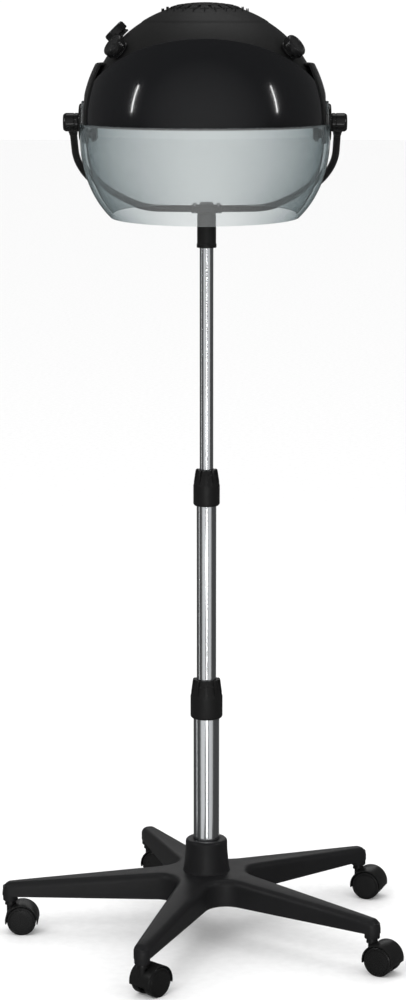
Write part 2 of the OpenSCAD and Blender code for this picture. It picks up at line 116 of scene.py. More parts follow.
world = bpy.data.worlds.new("studio")
world.use_nodes = True
sky = world.node_tree
sky.nodes["Background"].inputs["Color"].default_value = (1, 1, 1, 1)
ray = add_node(sky, "ShaderNodeLightPath").outputs
way = add_node(sky, "ShaderNodeTexCoord").outputs["Generated"]
front_to_back = add_node(sky, "ShaderNodeSeparateXYZ", {}, {0: way}).outputs["Y"]
fade = add_node(sky, "ShaderNodeMapRange", {}, {
    "Value": front_to_back, "From Min": -1.0, "From Max": -0.45,
    "To Min": GLOSS_FRONT, "To Max": GLOSS_BACK})
mirrored = add_node(sky, "ShaderNodeMath", {"operation": "GREATER_THAN"},
                    {0: ray["Is Glossy Ray"], 1: ray["Is Transmission Ray"]})
plain = add_node(sky, "ShaderNodeMix", {}, {"Factor": ray["Is Diffuse Ray"], "A": VIEW, "B": SKY})
choose = add_node(sky, "ShaderNodeMix", {}, {
    "Factor": mirrored.outputs[0], "A": plain.outputs[0], "B": fade.outputs[0]})
sky.links.new(choose.outputs[0], sky.nodes["Background"].inputs["Strength"])
bpy.context.scene.world = world
bpy.context.scene.view_settings.view_transform = "Standard"


def area_light(name, place, target, width, height, power, mirrored=True):
    """A softbox at a place, turned to a target. Gloss shows it only if it is mirrored."""
    data = bpy.data.lights.new(name, "AREA")
    data.shape = "RECTANGLE"
    data.size, data.size_y, data.energy = width, height, power
    light = bpy.data.objects.new(name, data)
    light.location = place
    light.rotation_mode = "QUATERNION"
    light.rotation_quaternion = (Vector(target) - Vector(place)).to_track_quat("-Z", "Y")
    light.visible_glossy = mirrored
    light.visible_camera = light.visible_transmission = False
    bpy.context.scene.collection.objects.link(light)
    return light


area_light("key", (-1.6, -2.6, 2.9), (0, 0, 1.0), 1.2, 1.6, 40, False)
for side in (-1, 1):
    area_light(f"strip_{side}", (2.75 * side, -1.2, 2.35), (0, 0, 1.4), 0.07, 1.1, 7)
area_light("top", (0.2, 0.6, 3.4), (0, 0, 1.2), 1.4, 1.4, 5)
area_light("low", (0, -3.4, 0.25), (0, 0, 0.9), 1.6, 0.25, 5)
area_light("back", (0, 3.6, 1.5), (0, 0, 0.3), 3.0, 0.9, 6)

# Tall lights for the tubes alone. They run on below the floor, because an upright mirror seen
# from above shows what is below.
tubes_only = bpy.data.collections.new("tubes")
for name, x, y, wide, power in (("line", 0.3, -3.4, 0.13, 30), ("left_line", -3.2, 0.2, 0.5, 7),
                                ("left_fill", -1.9, -3.0, 2.4, 22), ("right_fill", 2.3, -2.8, 2.4, 20),
                                ("back_fill", 0.8, 3.4, 2.6, 20)):
    tall = area_light(f"tube_{name}", (x, y, -0.6), (0, 0, -0.6), wide, 4.6, power)
    tall.light_linking.receiver_collection = tubes_only

# %% [markdown]
# ## Shader maths in Python
# A finish is a small sum: a base value plus a little noise. Writing those sums as Python keeps them
# readable, so one class wraps a socket and turns + - * into Math nodes, and one method adds any
# other node.

# %% A socket that does sums
class Wire:
    """A shader value. Arithmetic on it adds Math nodes to its tree."""

    def __init__(self, tree, socket):
        self.tree, self.socket = tree, socket

    def sum(self, operation, *terms):
        values = {slot: getattr(term, "socket", term) for slot, term in enumerate(terms)}
        node = add_node(self.tree, "ShaderNodeMath", {"operation": operation}, values)
        return Wire(self.tree, node.outputs[0])

    def __add__(self, other):
        return self.sum("ADD", self, other)

    __radd__ = __add__

    def __mul__(self, other):
        return self.sum("MULTIPLY", self, other)

    __rmul__ = __mul__

    def __sub__(self, other):
        return self.sum("SUBTRACT", self, other)

    def __rsub__(self, other):
        return self.sum("SUBTRACT", other, self)


class Finish:
    """A material being made: its tree, its shader, and one method that adds a node."""

    def __init__(self, name, **sockets):
        self.material = bpy.data.materials.new(name)
        self.material.use_nodes = True
        self.tree = self.material.node_tree
        self.shader = self.tree.nodes["Principled BSDF"]
        for key, value in sockets.items():
            self.shader.inputs[key.replace("_", " ")].default_value = value
        self.place = self.node("ShaderNodeTexCoord", {}, {}, "Object")

    def node(self, kind, settings, values, output=0):
        sockets = {key: getattr(value, "socket", value) for key, value in values.items()}
        return Wire(self.tree, add_node(self.tree, kind, settings, sockets).outputs[output])

    def noise(self, scale, detail=3.0, rough=0.55):
        values = {"Vector": self.place, "Scale": scale, "Detail": detail, "Roughness": rough}
        return self.node("ShaderNodeTexNoise", {}, values, "Fac")

    def feed(self, key, wire):
        self.tree.links.new(wire.socket, self.shader.inputs[key])

    def bump(self, height, distance, strength=1.0):
        values = {"Height": height, "Distance": distance, "Strength": strength}
        self.feed("Normal", self.node("ShaderNodeBump", {}, values, "Normal"))

    def mottle(self, dark, light, mask):
        """Base colour that wanders between two tones. Mix keeps one set of sockets for each type."""
        factor, first, second, blended = 0, 6, 7, 2
        values = {factor: mask, first: (*dark, 1), second: (*light, 1)}
        self.feed("Base Color", self.node("ShaderNodeMix", {"data_type": "RGBA"}, values, blended))


print("arithmetic:", [name for name in vars(Wire) if name.strip("_") in ("add", "mul", "sub", "rsub")])


# %% [markdown]
# ## Finishes
# Moulded plastic has a fine spark-eroded grain, so its highlight is broad; a lacquered cowl has
# none, and its highlight is a mirror. Both are nearly the same black, and only roughness and bump
# tell them apart. Handling leaves faint, large patches in the gloss.

# %% Black plastics
def moulded(name, tone, rough, grain, depth):
    """Moulded plastic: a fine grain and slight unevenness in its gloss."""
    finish = Finish(name, IOR=1.5, Specular_IOR_Level=0.4)
    broad, fine = finish.noise(9.0), finish.noise(grain, 2.0)
    lighter = tuple(v * 1.5 + 0.003 for v in tone)
    finish.mottle(tone, lighter, broad)
    finish.feed("Roughness", broad * 0.12 + fine * 0.08 + (rough - 0.1))
    finish.bump(fine, depth)
    return finish.material


base_nylon = moulded("base nylon", (0.0055, 0.0055, 0.006), 0.34, 900.0, 0.00025)
castor_nylon = moulded("castor nylon", (0.004, 0.004, 0.004), 0.3, 700.0, 0.0001)
wheel_nylon = moulded("wheel nylon", (0.0035, 0.0035, 0.0035), 0.26, 600.0, 0.0001)
dome_black = moulded("dome moulding", (0.0045, 0.0046, 0.0046), 0.46, 1100.0, 0.0003)
collar_black = moulded("collar moulding", (0.0035, 0.0035, 0.0035), 0.34, 900.0, 0.0002)
yoke_black = moulded("yoke powder coat", (0.004, 0.004, 0.004), 0.3, 500.0, 0.0002)
block_grey = moulded("pivot block moulding", (0.005, 0.006, 0.007), 0.45, 900.0, 0.0002)
bowl_grey = moulded("bowl moulding", (0.1, 0.1, 0.105), 0.5, 800.0, 0.0002)


def lacquered(name, tone, rough):
    """Polished plastic: a mirror highlight with faint handling marks in it."""
    finish = Finish(name, IOR=1.5, Specular_IOR_Level=0.35, Coat_Roughness=0.03)
    marks = finish.noise(14.0, 6.0, 0.7)
    finish.mottle(tone, tuple(v * 1.35 for v in tone), finish.noise(5.0))
    finish.feed("Roughness", marks * 0.07 + rough)
    finish.feed("Coat Weight", 0.6 - marks * 0.2)
    return finish.material


cowl_gloss = lacquered("cowl lacquer", (0.0042, 0.0044, 0.005), 0.1)
barrel_gloss = lacquered("barrel gloss", (0.004, 0.004, 0.004), 0.12)
knob_gloss = lacquered("knob gloss", (0.005, 0.005, 0.0052), 0.2)
print("black finishes made")

# %% [markdown]
# Chrome is a mirror with almost no colour. Real tubes show faint lengthwise drawing lines and dull
# patches where hands slide, so roughness varies slightly along stretched noise. Smoked acrylic is
# clear plastic with dye in it: light that crosses it at a slant meets more dye, which is why the
# sides of a curved visor look darker. Volume absorption does part of this, and Layer Weight
# darkens the surface colour where it is seen edge on.

# %% Metals and smoked sheet
def metal(name, colour, rough, stretch=(600.0, 600.0, 6.0)):
    """Bare or plated metal with fine lines along Z."""
    finish = Finish(name, Metallic=1.0)
    lines = finish.node("ShaderNodeMapping", {}, {"Vector": finish.place, "Scale": stretch}, "Vector")
    drawn = finish.node("ShaderNodeTexNoise", {}, {"Vector": lines, "Scale": 1.0, "Detail": 2.0}, "Fac")
    finish.mottle(tuple(v * 0.93 for v in colour), colour, drawn)
    finish.feed("Roughness", drawn * 0.06 + finish.noise(7.0) * 0.06 + rough)
    return finish.material


chrome = metal("tube chrome", (0.62, 0.635, 0.65), 0.13)
zinc = metal("zinc plate", (0.5, 0.51, 0.53), 0.28, (90.0, 90.0, 90.0))
sheet_metal = metal("pressed sheet", (0.55, 0.56, 0.57), 0.35, (40.0, 40.0, 200.0))
element_wire = metal("element wire", (0.3, 0.2, 0.16), 0.45, (200.0, 200.0, 200.0))


DYE, DYE_DENSITY = (0.42, 0.5, 0.52, 1), 165.0  # what passes through, and how much dye per metre


def smoked_acrylic():
    """Dyed clear sheet: even volume absorption, and a surface tint that deepens edge on."""
    finish = Finish("smoked acrylic", IOR=1.35, Transmission_Weight=0.93)
    edge_on = finish.node("ShaderNodeLayerWeight", {}, {"Blend": 0.5}, "Facing")
    finish.mottle((0.97, 0.975, 0.97), (0.1, 0.17, 0.19), edge_on * 0.95 + finish.noise(4.0) * 0.04)
    finish.feed("Roughness", finish.noise(18.0, 5.0) * 0.02 + 0.005)
    dye = add_node(finish.tree, "ShaderNodeVolumeAbsorption", {}, {"Color": DYE, "Density": DYE_DENSITY})
    output = finish.tree.nodes["Material Output"]
    finish.tree.links.new(dye.outputs[0], output.inputs["Volume"])
    return finish.material


smoked = smoked_acrylic()


def pale_board(name, tone, rough):
    """Natural nylon or mica board: pale, slightly uneven and dry."""
    finish = Finish(name, IOR=1.5)
    flakes = finish.noise(60.0, 5.0)
    finish.mottle(tuple(v * 0.85 for v in tone), tone, flakes)
    finish.feed("Roughness", flakes * 0.15 + rough)
    finish.bump(flakes, 0.0001)
    return finish.material


natural_nylon = pale_board("natural nylon", (0.72, 0.71, 0.66), 0.4)
mica = pale_board("mica board", (0.55, 0.47, 0.33), 0.6)
floor_paint = pale_board("floor", (0.9, 0.9, 0.9), 0.8)
print("materials:", len(bpy.data.materials))

# %% [markdown]
# The floor is one wide pale sheet under the wheels. It takes their soft shadow, but isn't mirrored,
# so the tubes don't pick up a white band from it.

# %% Floor
FLOOR_SIZE = 60.0
floor_mesh = bpy.data.meshes.new("floor")
half = FLOOR_SIZE / 2
floor_mesh.from_pydata([(-half, -half, 0), (half, -half, 0), (half, half, 0), (-half, half, 0)], [],
                       [(0, 1, 2, 3)])
floor_mesh.materials.append(floor_paint)
floor = bpy.data.objects.new("floor", floor_mesh)
bpy.context.scene.collection.objects.link(floor)
floor.visible_glossy = False
print("floor", FLOOR_SIZE, "m across")

# %% [markdown]
# ## Making meshes
# Most of these parts are turned, so one function spins a rounded outline about an axis. Corners
# are rounded in the outline itself, which is cleaner than bevelling a finished mesh. Curved sheets
# come from a second function that walks a grid over a surface and gives it a thickness.

# %% Mesh helpers
def rounded(points, radius, steps=3):
    """The same closed outline with its corners rounded, in the outline's own units."""
    result = []
    count = len(points)
    for i, corner in enumerate(points):
        before, after = Vector(points[i - 1]), Vector(points[(i + 1) % count])
        corner = Vector(corner)
        a, b = before - corner, after - corner
        reach = min(radius, a.length * 0.45, b.length * 0.45)
        on_axis = abs(corner.x) < 1e-9
        if on_axis or reach < 1e-7:
            result.append(tuple(corner))
            continue
        start, end = corner + a.normalized() * reach, corner + b.normalized() * reach
        for k in range(steps + 1):
            t = k / steps
            result.append(tuple(start * (1 - t) ** 2 + corner * 2 * t * (1 - t) + end * t * t))
    return result


def band(inner, outer, low, high):
    """The outline of a plain ring: a rectangle between two radii and two heights."""
    return [(inner, low), (outer, low), (outer, high), (inner, high)]


def spin(outline, segments=64, start=0.0, sweep=2 * math.pi):
    """A turned solid: a closed (radius, height) outline swept about Z, as a bmesh."""
    mesh = bmesh.new()
    whole = abs(sweep - 2 * math.pi) < 1e-6
    turns = segments if whole else segments + 1
    rings = []
    for i in range(turns):
        angle = start + sweep * i / segments
        c, s = math.cos(angle), math.sin(angle)
        rings.append([mesh.verts.new((r * c, r * s, z)) for r, z in outline])
    count = len(outline)
    for i in range(turns if whole else turns - 1):
        one, two = rings[i], rings[(i + 1) % turns]
        for k in range(count):
            n = (k + 1) % count
            mesh.faces.new((one[k], two[k], two[n], one[n]))
    if not whole:
        mesh.faces.new(rings[0])
        mesh.faces.new(list(reversed(rings[-1])))
    tidy(mesh)
    return mesh


def tidy(mesh):
    """Merges doubles, drops faces with no area and points every face outwards."""
    bmesh.ops.remove_doubles(mesh, verts=mesh.verts, dist=1e-6)
    bmesh.ops.dissolve_degenerate(mesh, edges=mesh.edges, dist=1e-7)
    bmesh.ops.recalc_face_normals(mesh, faces=mesh.faces)


def block(low, high, radius, steps=2):
    """A box with rounded edges, as a bmesh."""
    mesh = bmesh.new()
    bmesh.ops.create_cube(mesh, size=1.0)
    low, high = Vector(low), Vector(high)
    for vert in mesh.verts:
        vert.co = Vector([l + (h - l) * (c + 0.5) for l, h, c in zip(low, high, vert.co)])
    bmesh.ops.bevel(mesh, geom=list(mesh.edges), offset=radius, segments=steps, affect="EDGES")
    return mesh


def flat_rib(profile, half_width, bevel, segments=1):
    """A rib from its (outward, up) side outline. Its half width may depend on the way out."""
    made = bmesh.new()
    for side in (-1, 1):
        made.faces.new([made.verts.new((x, side * half_width(x), z)) for x, z in profile])
    one, two = list(made.faces)
    for k in range(len(profile)):
        n = (k + 1) % len(profile)
        made.faces.new((one.verts[k], one.verts[n], two.verts[n], two.verts[k]))
    bmesh.ops.recalc_face_normals(made, faces=made.faces)
    bmesh.ops.bevel(made, geom=list(made.edges), offset=bevel, segments=segments, affect="EDGES")
    return made


def grid_shell(point, rows, columns, keep=lambda co: True):
    """A closed sheet. point(u, v, side) gives both skins, and keep(point) says which cells it has."""
    mesh = bmesh.new()
    outer, inner = [[[mesh.verts.new(point(j / columns, i / rows, side)) for j in range(columns + 1)]
                     for i in range(rows + 1)] for side in (0, 1)]
    kept = {(i, j) for i in range(rows) for j in range(columns)
            if keep(point((j + 0.5) / columns, (i + 0.5) / rows, 0))}
    for i, j in sorted(kept):
        mesh.faces.new((outer[i][j], outer[i][j + 1], outer[i + 1][j + 1], outer[i + 1][j]))
        mesh.faces.new((inner[i][j], inner[i + 1][j], inner[i + 1][j + 1], inner[i][j + 1]))
        edges = {(i - 1, j): (0, 0, 0, 1), (i + 1, j): (1, 0, 1, 1),
                 (i, j - 1): (0, 0, 1, 0), (i, j + 1): (0, 1, 1, 1)}
        for neighbour, (up_a, on_a, up_b, on_b) in edges.items():
            if neighbour not in kept:
                mesh.faces.new((outer[i + up_a][j + on_a], outer[i + up_b][j + on_b],
                                inner[i + up_b][j + on_b], inner[i + up_a][j + on_a]))
    bmesh.ops.delete(mesh, geom=[v for v in mesh.verts if not v.link_faces], context="VERTS")
    tidy(mesh)
    return mesh


SMOOTH_ANGLE = math.radians(32)


def piece(name, meshes, material, body, nodes=(), extra=()):
    """Joins bmeshes, each with its placing matrix, and plain meshes into one object on a body."""
    whole = bmesh.new()
    for mesh, place in meshes:
        mesh.transform(place)
        if place.determinant() < 0:
            bmesh.ops.reverse_faces(mesh, faces=mesh.faces)
        data = bpy.data.meshes.new("part")
        mesh.to_mesh(data)
        mesh.free()
        whole.from_mesh(data)
        bpy.data.meshes.remove(data)
    for data in extra:
        whole.from_mesh(data)
    data = bpy.data.meshes.new(name)
    whole.to_mesh(data)
    whole.free()
    data.materials.clear()
    data.materials.append(material)
    for polygon in data.polygons:
        polygon.material_index = 0
        polygon.use_smooth = True
    data.set_sharp_from_angle(angle=SMOOTH_ANGLE)
    made = bpy.data.objects.new(name, data)
    bpy.context.scene.collection.objects.link(made)
    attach(made, body)
    if nodes:
        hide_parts(*nodes)
    print(f"{name}: {len(data.polygons)} faces on {body}")
    return made


AT_HOOD = Matrix.Translation(pivot)
HERE = Matrix.Identity(4)


def facing(direction, origin):
    """A matrix that puts +Z along a direction, at a point."""
    return Matrix.Translation(origin) @ Vector(direction).to_track_quat("Z", "Y").to_matrix().to_4x4()


def at_both_pivots(outline, segments):
    """A turned piece on each end of the tilt axis, its heights measured from the hood's middle."""
    return [(spin(outline, segments), facing((side, 0, 0), pivot)) for side in (-1, 1)]


test_square = rounded(band(5 * MM, 9 * MM, 0, 4 * MM), 1 * MM)
print("a square with rounded corners has", len(test_square), "points")

# %% [markdown]
# ## Geometry Nodes for what repeats
# Grip ridges, vent ribs and pins are the same shape many times round an axis, so a node tree does
# the counting: a mesh circle, one instance on each point, turned to face outwards. A second tree
# sweeps a round bar along a curve. Both end in Realize Instances and Set Material, and the result
# is kept as a plain mesh.

# %% Two node trees
def new_tree(name, sockets):
    """An empty geometry tree with named inputs; returns the tree, its group input and identifiers."""
    tree = bpy.data.node_groups.new(name, "GeometryNodeTree")
    tree.interface.new_socket("Geometry", in_out="INPUT", socket_type="NodeSocketGeometry")
    ids = {}
    for label, kind, value in sockets:
        socket = tree.interface.new_socket(label, in_out="INPUT", socket_type=kind)
        if value is not None:
            socket.default_value = value
        ids[label] = socket.identifier
    tree.interface.new_socket("Geometry", in_out="OUTPUT", socket_type="NodeSocketGeometry")
    return tree, tree.nodes.new("NodeGroupInput"), ids


def end_tree(tree, group_in, geometry):
    """Realize, set the material and hand the geometry out."""
    real = add_node(tree, "GeometryNodeRealizeInstances", {}, {0: geometry})
    paint = add_node(tree, "GeometryNodeSetMaterial", {}, {
        "Geometry": real.outputs[0], "Material": group_in.outputs["Material"]})
    add_node(tree, "NodeGroupOutput", {}, {0: paint.outputs[0]})


def ring_tree():
    """Copies of the object's own mesh at even steps round Z, each turned with its step."""
    sockets = (("Count", "NodeSocketInt", 12), ("Radius", "NodeSocketFloat", 0.01),
               ("Material", "NodeSocketMaterial", None))
    tree, group_in, ids = new_tree("ring of copies", sockets)
    given = group_in.outputs
    circle = add_node(tree, "GeometryNodeMeshCircle", {}, {
        "Vertices": given["Count"], "Radius": given["Radius"]})
    index = add_node(tree, "GeometryNodeInputIndex").outputs[0]
    share = add_node(tree, "ShaderNodeMath", {"operation": "DIVIDE"}, {0: index, 1: given["Count"]})
    angle = add_node(tree, "ShaderNodeMath", {"operation": "MULTIPLY"},
                     {0: share.outputs[0], 1: 2 * math.pi})
    about = add_node(tree, "ShaderNodeCombineXYZ", {}, {"Z": angle.outputs[0]})
    copies = add_node(tree, "GeometryNodeInstanceOnPoints", {}, {
        "Points": circle.outputs[0], "Instance": given["Geometry"], "Rotation": about.outputs[0]})
    end_tree(tree, group_in, copies.outputs[0])
    return tree, ids


def bar_tree():
    """A round bar along the object's edges."""
    sockets = (("Radius", "NodeSocketFloat", 0.005), ("Sides", "NodeSocketInt", 24),
               ("Material", "NodeSocketMaterial", None))
    tree, group_in, ids = new_tree("bar along a line", sockets)
    given = group_in.outputs
    line = add_node(tree, "GeometryNodeMeshToCurve", {}, {"Mesh": given["Geometry"]})
    profile = add_node(tree, "GeometryNodeCurvePrimitiveCircle", {}, {
        "Radius": given["Radius"], "Resolution": given["Sides"]})
    swept = add_node(tree, "GeometryNodeCurveToMesh", {}, {
        "Curve": line.outputs[0], "Profile Curve": profile.outputs[0], "Fill Caps": True})
    end_tree(tree, group_in, swept.outputs[0])
    return tree, ids


RING, RING_IDS = ring_tree()
BAR, BAR_IDS = bar_tree()


def grown(mesh, tree, ids, values, place):
    """Runs a tree on a mesh and returns the result as a plain mesh, put in its place."""
    source = bpy.data.objects.new("source", mesh)
    bpy.context.scene.collection.objects.link(source)
    modifier = source.modifiers.new("nodes", "NODES")
    modifier.node_group = tree
    for label, value in values.items():
        modifier[ids[label]] = value
    graph = bpy.context.evaluated_depsgraph_get()
    result = bpy.data.meshes.new_from_object(source.evaluated_get(graph))
    source.modifiers.remove(modifier)
    bpy.data.objects.remove(source)
    result.transform(place)
    return result


def ring_of(mesh, count, radius, material, place):
    """Copies of a small bmesh round an axis. Its own +X points outwards."""
    data = bpy.data.meshes.new("copy")
    mesh.to_mesh(data)
    mesh.free()
    return grown(data, RING, RING_IDS, {"Count": count, "Radius": radius, "Material": material}, place)


def bar_along(points, radius, material, closed=False, sides=24):
    """A round bar along points."""
    data = bpy.data.meshes.new("line")
    edges = [(i, i + 1) for i in range(len(points) - 1)]
    if closed:
        edges.append((len(points) - 1, 0))
    data.from_pydata([tuple(p) for p in points], edges, [])
    return grown(data, BAR, BAR_IDS, {"Radius": radius, "Sides": sides, "Material": material}, HERE)


print("node trees:", RING.name, "/", BAR.name)

# %% [markdown]
# ## The five-arm base
# A glass-filled nylon star. Each arm tapers, slopes down to its tip and has well-rounded top edges.
# The outline is walked once, and drawn in step by step while it rises, which makes the rounding.

# %% Base
base_low, base_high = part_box("star_base")
first_stem = joints["caster_1_swivel"]["pos_m"]
STEM_CIRCLE = math.hypot(first_stem[0], first_stem[1])
FIRST_ARM = math.atan2(first_stem[1], first_stem[0])
ARMS = 5
STEP = 2 * math.pi / ARMS
ROOT_HALF, TIP_HALF, HOLLOW = 27 * MM, 14 * MM, 37 * MM
TIP_TURN = math.radians(87)  # how far a tip's arc runs to each side, so that it meets tapering sides
UNDER_Z, TOP_Z, TIP_TOP_Z = 67 * MM, 113 * MM, 92 * MM
SOCKET_LOW = base_low[2]
EDGE_ROUND = 11 * MM


def on_circle(radius, angle):
    return Vector((radius * math.cos(angle), radius * math.sin(angle)))


def star_line(inset, per_side=10):
    """The base's outline seen from above, drawn in by an inset."""
    centre = (ROOT_HALF + HOLLOW) / math.sin(STEP / 2)
    points = []
    for k in range(ARMS):
        along = FIRST_ARM + k * STEP
        tip = on_circle(STEM_CIRCLE, along)
        hollow = on_circle(centre, along + STEP / 2)
        round_tip = [tip + (TIP_HALF - inset) * Vector((math.cos(a), math.sin(a)))
                     for a in (along - TIP_TURN + 2 * TIP_TURN * i / 16 for i in range(17))]
        first, last = along + math.radians(270), along + math.radians(270) - math.pi + STEP
        round_hollow = [hollow + (HOLLOW + inset) * Vector((math.cos(a), math.sin(a)))
                        for a in (first + (last - first) * i / 10 for i in range(11))]
        next_tip = on_circle(STEM_CIRCLE, along + STEP)
        side = along + STEP - TIP_TURN
        landing = next_tip + (TIP_HALF - inset) * Vector((math.cos(side), math.sin(side)))
        points += round_tip
        points += [round_tip[-1].lerp(round_hollow[0], i / per_side) for i in range(1, per_side)]
        points += round_hollow
        points += [round_hollow[-1].lerp(landing, i / per_side) for i in range(1, per_side)]
    return points


def arm_top(radius):
    """Height of the arms' top face at a distance from the mast."""
    end = STEM_CIRCLE + TIP_HALF
    root, drop = 75 * MM, 24 * MM
    knee = end - drop
    if radius <= root:
        return TOP_Z
    slope_z = TOP_Z + (TIP_TOP_Z - TOP_Z) * (radius - root) / (knee - root)
    if radius <= knee:
        return slope_z
    over = min(1.0, (radius - knee) / drop)
    return TIP_TOP_Z - EDGE_ROUND * (1 - math.sqrt(max(0.0, 1 - over * over)))


def star_mesh():
    """The hollow star: outer wall, rounded top edge, top face, and the hollow underside."""
    mesh = bmesh.new()
    levels = []
    for step in range(7):
        angle = math.pi / 2 * step / 6
        inset = EDGE_ROUND * (1 - math.cos(angle))
        line = star_line(inset)
        drop = EDGE_ROUND * (1 - math.sin(angle))
        levels.append([(p.x, p.y, arm_top(p.length) - drop) for p in line])
    outer_low = [(p.x, p.y, UNDER_Z) for p in star_line(0)]
    inner_low = [(p.x, p.y, UNDER_Z) for p in star_line(4 * MM)]
    inner_top = [(p.x, p.y, arm_top(p.length) - 12 * MM) for p in star_line(5 * MM)]
    rings = [[mesh.verts.new(co) for co in ring]
             for ring in (inner_top, inner_low, outer_low, *levels)]
    for one, two in zip(rings, rings[1:]):
        for i in range(len(one)):
            n = (i + 1) % len(one)
            mesh.faces.new((one[i], one[n], two[n], two[i]))
    for ring in (rings[0], rings[-1]):
        edges = [mesh.edges.get((ring[i], ring[(i + 1) % len(ring)])) for i in range(len(ring))]
        bmesh.ops.triangle_fill(mesh, use_beauty=True, use_dissolve=False, edges=edges)
    bmesh.ops.recalc_face_normals(mesh, faces=mesh.faces)
    return mesh


HUB_TOP = base_high[2]
hub_outline = rounded([
    (22.4 * MM, UNDER_Z), (43 * MM, UNDER_Z), (43 * MM, TOP_Z - 7 * MM), (41.5 * MM, TOP_Z - 1.5 * MM),
    (39.6 * MM, TOP_Z + 3 * MM), (38.2 * MM, TOP_Z + 14 * MM), (36.2 * MM, HUB_TOP - 20 * MM),
    (35.8 * MM, HUB_TOP - 3 * MM), (33 * MM, HUB_TOP), (24 * MM, HUB_TOP),
    (22.4 * MM, HUB_TOP - 1.5 * MM)], 3.5 * MM, 4)
socket_outline = rounded(band(5.1 * MM, 13 * MM, SOCKET_LOW, 84 * MM), 1.2 * MM)
stems = [Matrix.Translation((*joints[f"caster_{n}_swivel"]["pos_m"][:2], 0)) for n in range(1, 6)]
cross_rib = [(block((70 * MM, -1.5 * MM, UNDER_Z + 1 * MM), (326 * MM, 1.5 * MM, 82 * MM), 0.4 * MM),
              Matrix.Rotation(FIRST_ARM + k * STEP, 4, "Z")) for k in range(ARMS)]
piece("base_star", [(star_mesh(), HERE), (spin(hub_outline, 96), HERE)]
      + [(spin(socket_outline, 40), place) for place in stems] + cross_rib,
      base_nylon, "base", ["star_base"])

# %% [markdown]
# ## Castors
# Each twin-wheel castor is a hood over two wheels. The wheels are dished inside and have a flat
# cap outside with a shallow ring, which is what catches the light.

# %% Castors
WHEEL_R, WHEEL_IN, WHEEL_OUT = 25 * MM, 7.4 * MM, 22 * MM
wheel_outline = [
    (3.1 * MM, 9.4 * MM), (6 * MM, 9.4 * MM), (6 * MM, 18.5 * MM), (20.5 * MM, 18.5 * MM),
    (20.5 * MM, WHEEL_IN), (WHEEL_R, WHEEL_IN), (WHEEL_R, WHEEL_OUT - 1.2 * MM),
    (22.6 * MM, WHEEL_OUT), (21.6 * MM, WHEEL_OUT - 0.1 * MM), (21.2 * MM, WHEEL_OUT - 0.9 * MM),
    (20.2 * MM, WHEEL_OUT - 0.9 * MM), (19.8 * MM, WHEEL_OUT - 0.1 * MM), (8 * MM, WHEEL_OUT),
    (0, WHEEL_OUT), (0, 18.9 * MM), (3.1 * MM, 18.9 * MM)]


def fender():
    """The hood over both wheels: a curved shell with turned-in rounded ends."""
    inner, outer, width = 26.2 * MM, 28.6 * MM, 22.2 * MM
    return spin(rounded(band(inner, outer, -width, width), 1.0 * MM), 48, math.radians(-10), math.radians(200))


def castor_core():
    """The wall between the wheels, up to the hood."""
    half = 6.9 * MM
    low = rounded(band(3 * MM, 19 * MM, -half, half), 0.8 * MM)
    top = rounded(band(17 * MM, 27 * MM, -half, half), 0.5 * MM)
    return [spin(low, 48), spin(top, 32, 0, math.pi)]


neck = rounded(mm((5.1, 50.2), (10, 50.2), (9, 57.6), (5.1, 57.6)), 0.8 * MM)
shoulder = rounded(band(5.1 * MM, 6.8 * MM, 36 * MM, 51 * MM), 0.4 * MM)
for n in range(1, 6):
    stem = Vector(joints[f"caster_{n}_swivel"]["pos_m"])
    axle = Vector(joints[f"wheel_{n}_left_spin"]["pos_m"])
    trail = Vector((axle.x - stem.x, axle.y - stem.y, 0)).normalized()
    across = Vector((0, 0, 1)).cross(trail)
    frame_at = Matrix((trail, across, (0, 0, 1))).transposed().to_4x4()
    at_axle = Matrix.Translation(axle) @ frame_at @ Matrix.Rotation(math.pi / 2, 4, "X")
    at_stem = Matrix.Translation((stem.x, stem.y, 0)) @ frame_at
    parts = [(fender(), at_axle)] + [(core, at_axle) for core in castor_core()]
    parts += [(spin(neck, 32), at_stem), (spin(shoulder, 32), at_stem)]
    piece(f"castor_hood_{n}", parts, castor_nylon, f"caster_{n}", [f"caster_body_{n}"])
    for side, flip in (("left", 0.0), ("right", math.pi)):
        place = at_axle @ Matrix.Rotation(flip, 4, "X")
        piece(f"castor_wheel_{n}_{side}", [(spin(rounded(wheel_outline, 0.7 * MM, 2), 56), place)],
              wheel_nylon, f"wheel_{n}_{side}", [f"caster_wheel_{n}_{side}"])

# %% [markdown]
# ## The mast
# Three chromed tubes and two grip collars. A collar's upper half narrows to the tube between
# swept-back wings, which is where fingers find a hold.

# %% Tubes
def tube(node, wall, body):
    """A chromed tube with softly broken ends, as long and as wide as its node."""
    low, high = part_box(node)
    r = (high[0] - low[0]) / 2
    outline = rounded(band(r - wall, r, low[2], high[2]), 0.5 * MM)
    made = piece(f"{node}_chromed", [(spin(outline, 96), HERE)], chrome, body, [node])
    tubes_only.objects.link(made)


tube("lower_tube", 2 * MM, "base")
tube("mid_tube", 1.8 * MM, "mid_mast")
tube("upper_tube", 1.6 * MM, "upper_mast")


